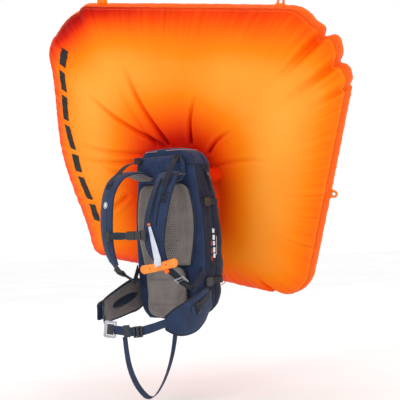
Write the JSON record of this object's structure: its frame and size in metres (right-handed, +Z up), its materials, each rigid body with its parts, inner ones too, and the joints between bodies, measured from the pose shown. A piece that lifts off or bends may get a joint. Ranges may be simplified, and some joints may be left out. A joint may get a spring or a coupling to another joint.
{
  "type": "avalanche airbag backpack",
  "caption": "Closed backpack with shoulder straps, sternum strap, hip belt and leg strap, carrying a large inflated airbag behind and above it, fired by a pull handle on the left strap.",
  "frame": {"origin": "centre of the whole back panel, on the flat front face of the back pad that rests on the wearer", "axes": "+Z up, -Y the way the wearer faces (out of the back pad), +X to the wearer left"},
  "size_m": [1.0539, 0.7913, 1.3282],
  "materials": {
    "navy_fabric": "ripstop pack fabric",
    "grey_mesh": "spacer mesh over foam",
    "navy_webbing": "woven webbing",
    "black_webbing": "woven webbing",
    "white_webbing": "woven tape",
    "airbag_fabric": "coated ripstop nylon",
    "black_plastic": "moulded acetal",
    "orange_plastic": "soft-touch moulding",
    "frame_plastic": "polyethylene sheet",
    "zip_tape": "coil zip tape",
    "chrome": "polished",
    "steel": "satin",
    "aluminium": "satin anodised",
    "brass": "turned",
    "copper_cap": "satin",
    "red_plastic": "moulded",
    "lens": "clear",
    "orange_cord": "braided cord"
  },
  "bodies": {
    "root": {"back_panel": "grey_mesh", "lumbar_pad": "grey_mesh", "top_yoke": "navy_fabric", "main_bag": "navy_fabric", "frame_sheet": "frame_plastic", "frame_stays": "aluminium", "compression_strap_upper_left": "black_webbing", "compression_strap_upper_right": "black_webbing", "compression_strap_lower_left": "black_webbing", "compression_strap_lower_right": "black_webbing", "compression_buckles": "black_plastic", "shoulder_strap_left": "navy_fabric", "shoulder_strap_right": "navy_fabric", "strap_webbing_left": "black_webbing", "strap_adjuster_left": "chrome", "strap_webbing_right": "black_webbing", "strap_adjuster_right": "black_plastic", "strap_anchor_left": "black_webbing", "strap_anchor_right": "black_webbing", "load_lifter_left": "navy_webbing", "load_lifter_right": "navy_webbing", "load_lifter_locks": "black_plastic", "cable_housing": "black_plastic", "side_zip": "zip_tape", "cartridge": "steel", "cartridge_neck": "brass", "inflator_body": "aluminium", "pressure_gauge": "black_plastic", "gauge_lens": "lens", "airbag_hose": "aluminium", "airbag_shell": "airbag_fabric", "airbag_tabs": "airbag_fabric", "airbag_eyelets": "chrome", "airbag_tethers": "black_webbing", "leg_strap": "navy_webbing", "tool_cord": "orange_cord"},
    "hip_wing_left": {"hip_wing_left": "navy_fabric", "belt_webbing": "navy_webbing", "belt_adjuster": "black_plastic", "leg_strap_loop": "navy_webbing"},
    "belt_buckle": {"belt_buckle_frame": "chrome"},
    "hip_wing_right": {"hip_wing_right": "navy_fabric", "hip_pocket": "navy_fabric", "hip_zip": "zip_tape", "belt_catch": "black_webbing"},
    "hip_zip_slider": {"hip_zip_slider": "steel"},
    "hip_zip_pull": {"hip_zip_pull": "steel"},
    "side_zip_slider": {"side_zip_slider": "steel"},
    "side_zip_pull": {"side_zip_pull": "steel"},
    "sternum_strap": {"sternum_sliders": "black_plastic", "sternum_webbing": "black_webbing", "sternum_buckle_female": "black_plastic", "sternum_buckle_male": "black_plastic"},
    "trigger": {"trigger_handle": "orange_plastic", "trigger_webbing": "white_webbing", "cable_ferrule": "copper_cap"},
    "trigger_pin": {"trigger_pin": "steel"},
    "gauge_needle": {"gauge_needle": "red_plastic"}
  },
  "joints": [
    {"name": "trigger_pull", "type": "slide", "parent": "root", "child": "trigger", "axis": [0.2765, -0.0691, -0.9585], "range_m": [0, 0.05]},
    {"name": "pin_release", "type": "slide", "parent": "root", "child": "trigger_pin", "axis": [0, 0, 1], "range_m": [0, 0.01]},
    {"name": "hip_wing_left_swing", "type": "hinge", "parent": "root", "child": "hip_wing_left", "pos_m": [0.125, 0.008, -0.164], "axis": [0, 0, 1], "range_deg": [0, 30]},
    {"name": "hip_wing_right_swing", "type": "hinge", "parent": "root", "child": "hip_wing_right", "pos_m": [-0.125, 0.008, -0.14], "axis": [0, 0, -1], "range_deg": [0, 30]},
    {"name": "belt_buckle_swing", "type": "hinge", "parent": "hip_wing_left", "child": "belt_buckle", "pos_m": [-0.02432, -0.23386, -0.22166], "axis": [0, 0, 1], "range_deg": [0, 60]},
    {"name": "sternum_height", "type": "slide", "parent": "root", "child": "sternum_strap", "axis": [0, 0, 1], "range_m": [-0.025, 0.025]},
    {"name": "side_zip_travel", "type": "slide", "parent": "root", "child": "side_zip_slider", "axis": [0.1312, 0.2597, -0.9567], "range_m": [-0.006, 0.045]},
    {"name": "side_zip_pull_flip", "type": "hinge", "parent": "side_zip_slider", "child": "side_zip_pull", "pos_m": [0.11884, 0.0874, 0.23594], "axis": [0.0849, -0.9645, -0.2501], "range_deg": [0, 110]},
    {"name": "hip_zip_travel", "type": "slide", "parent": "hip_wing_right", "child": "hip_zip_slider", "axis": [0.0827, -0.9809, -0.1763], "range_m": [-0.004, 0.03]},
    {"name": "hip_zip_pull_flip", "type": "hinge", "parent": "hip_zip_slider", "child": "hip_zip_pull", "pos_m": [-0.16672, -0.0855, -0.14572], "axis": [-0.0148, 0.1757, -0.9843], "range_deg": [0, 110]},
    {"name": "gauge_sweep", "type": "hinge", "parent": "root", "child": "gauge_needle", "pos_m": [0.033, 0.074, 0.232], "axis": [1, 0, 0], "range_deg": [-120, 30]}
  ],
  "couplings": [
    {"joint": "pin_release", "follows": "trigger_pull", "ratio": 0.2}
  ]
}
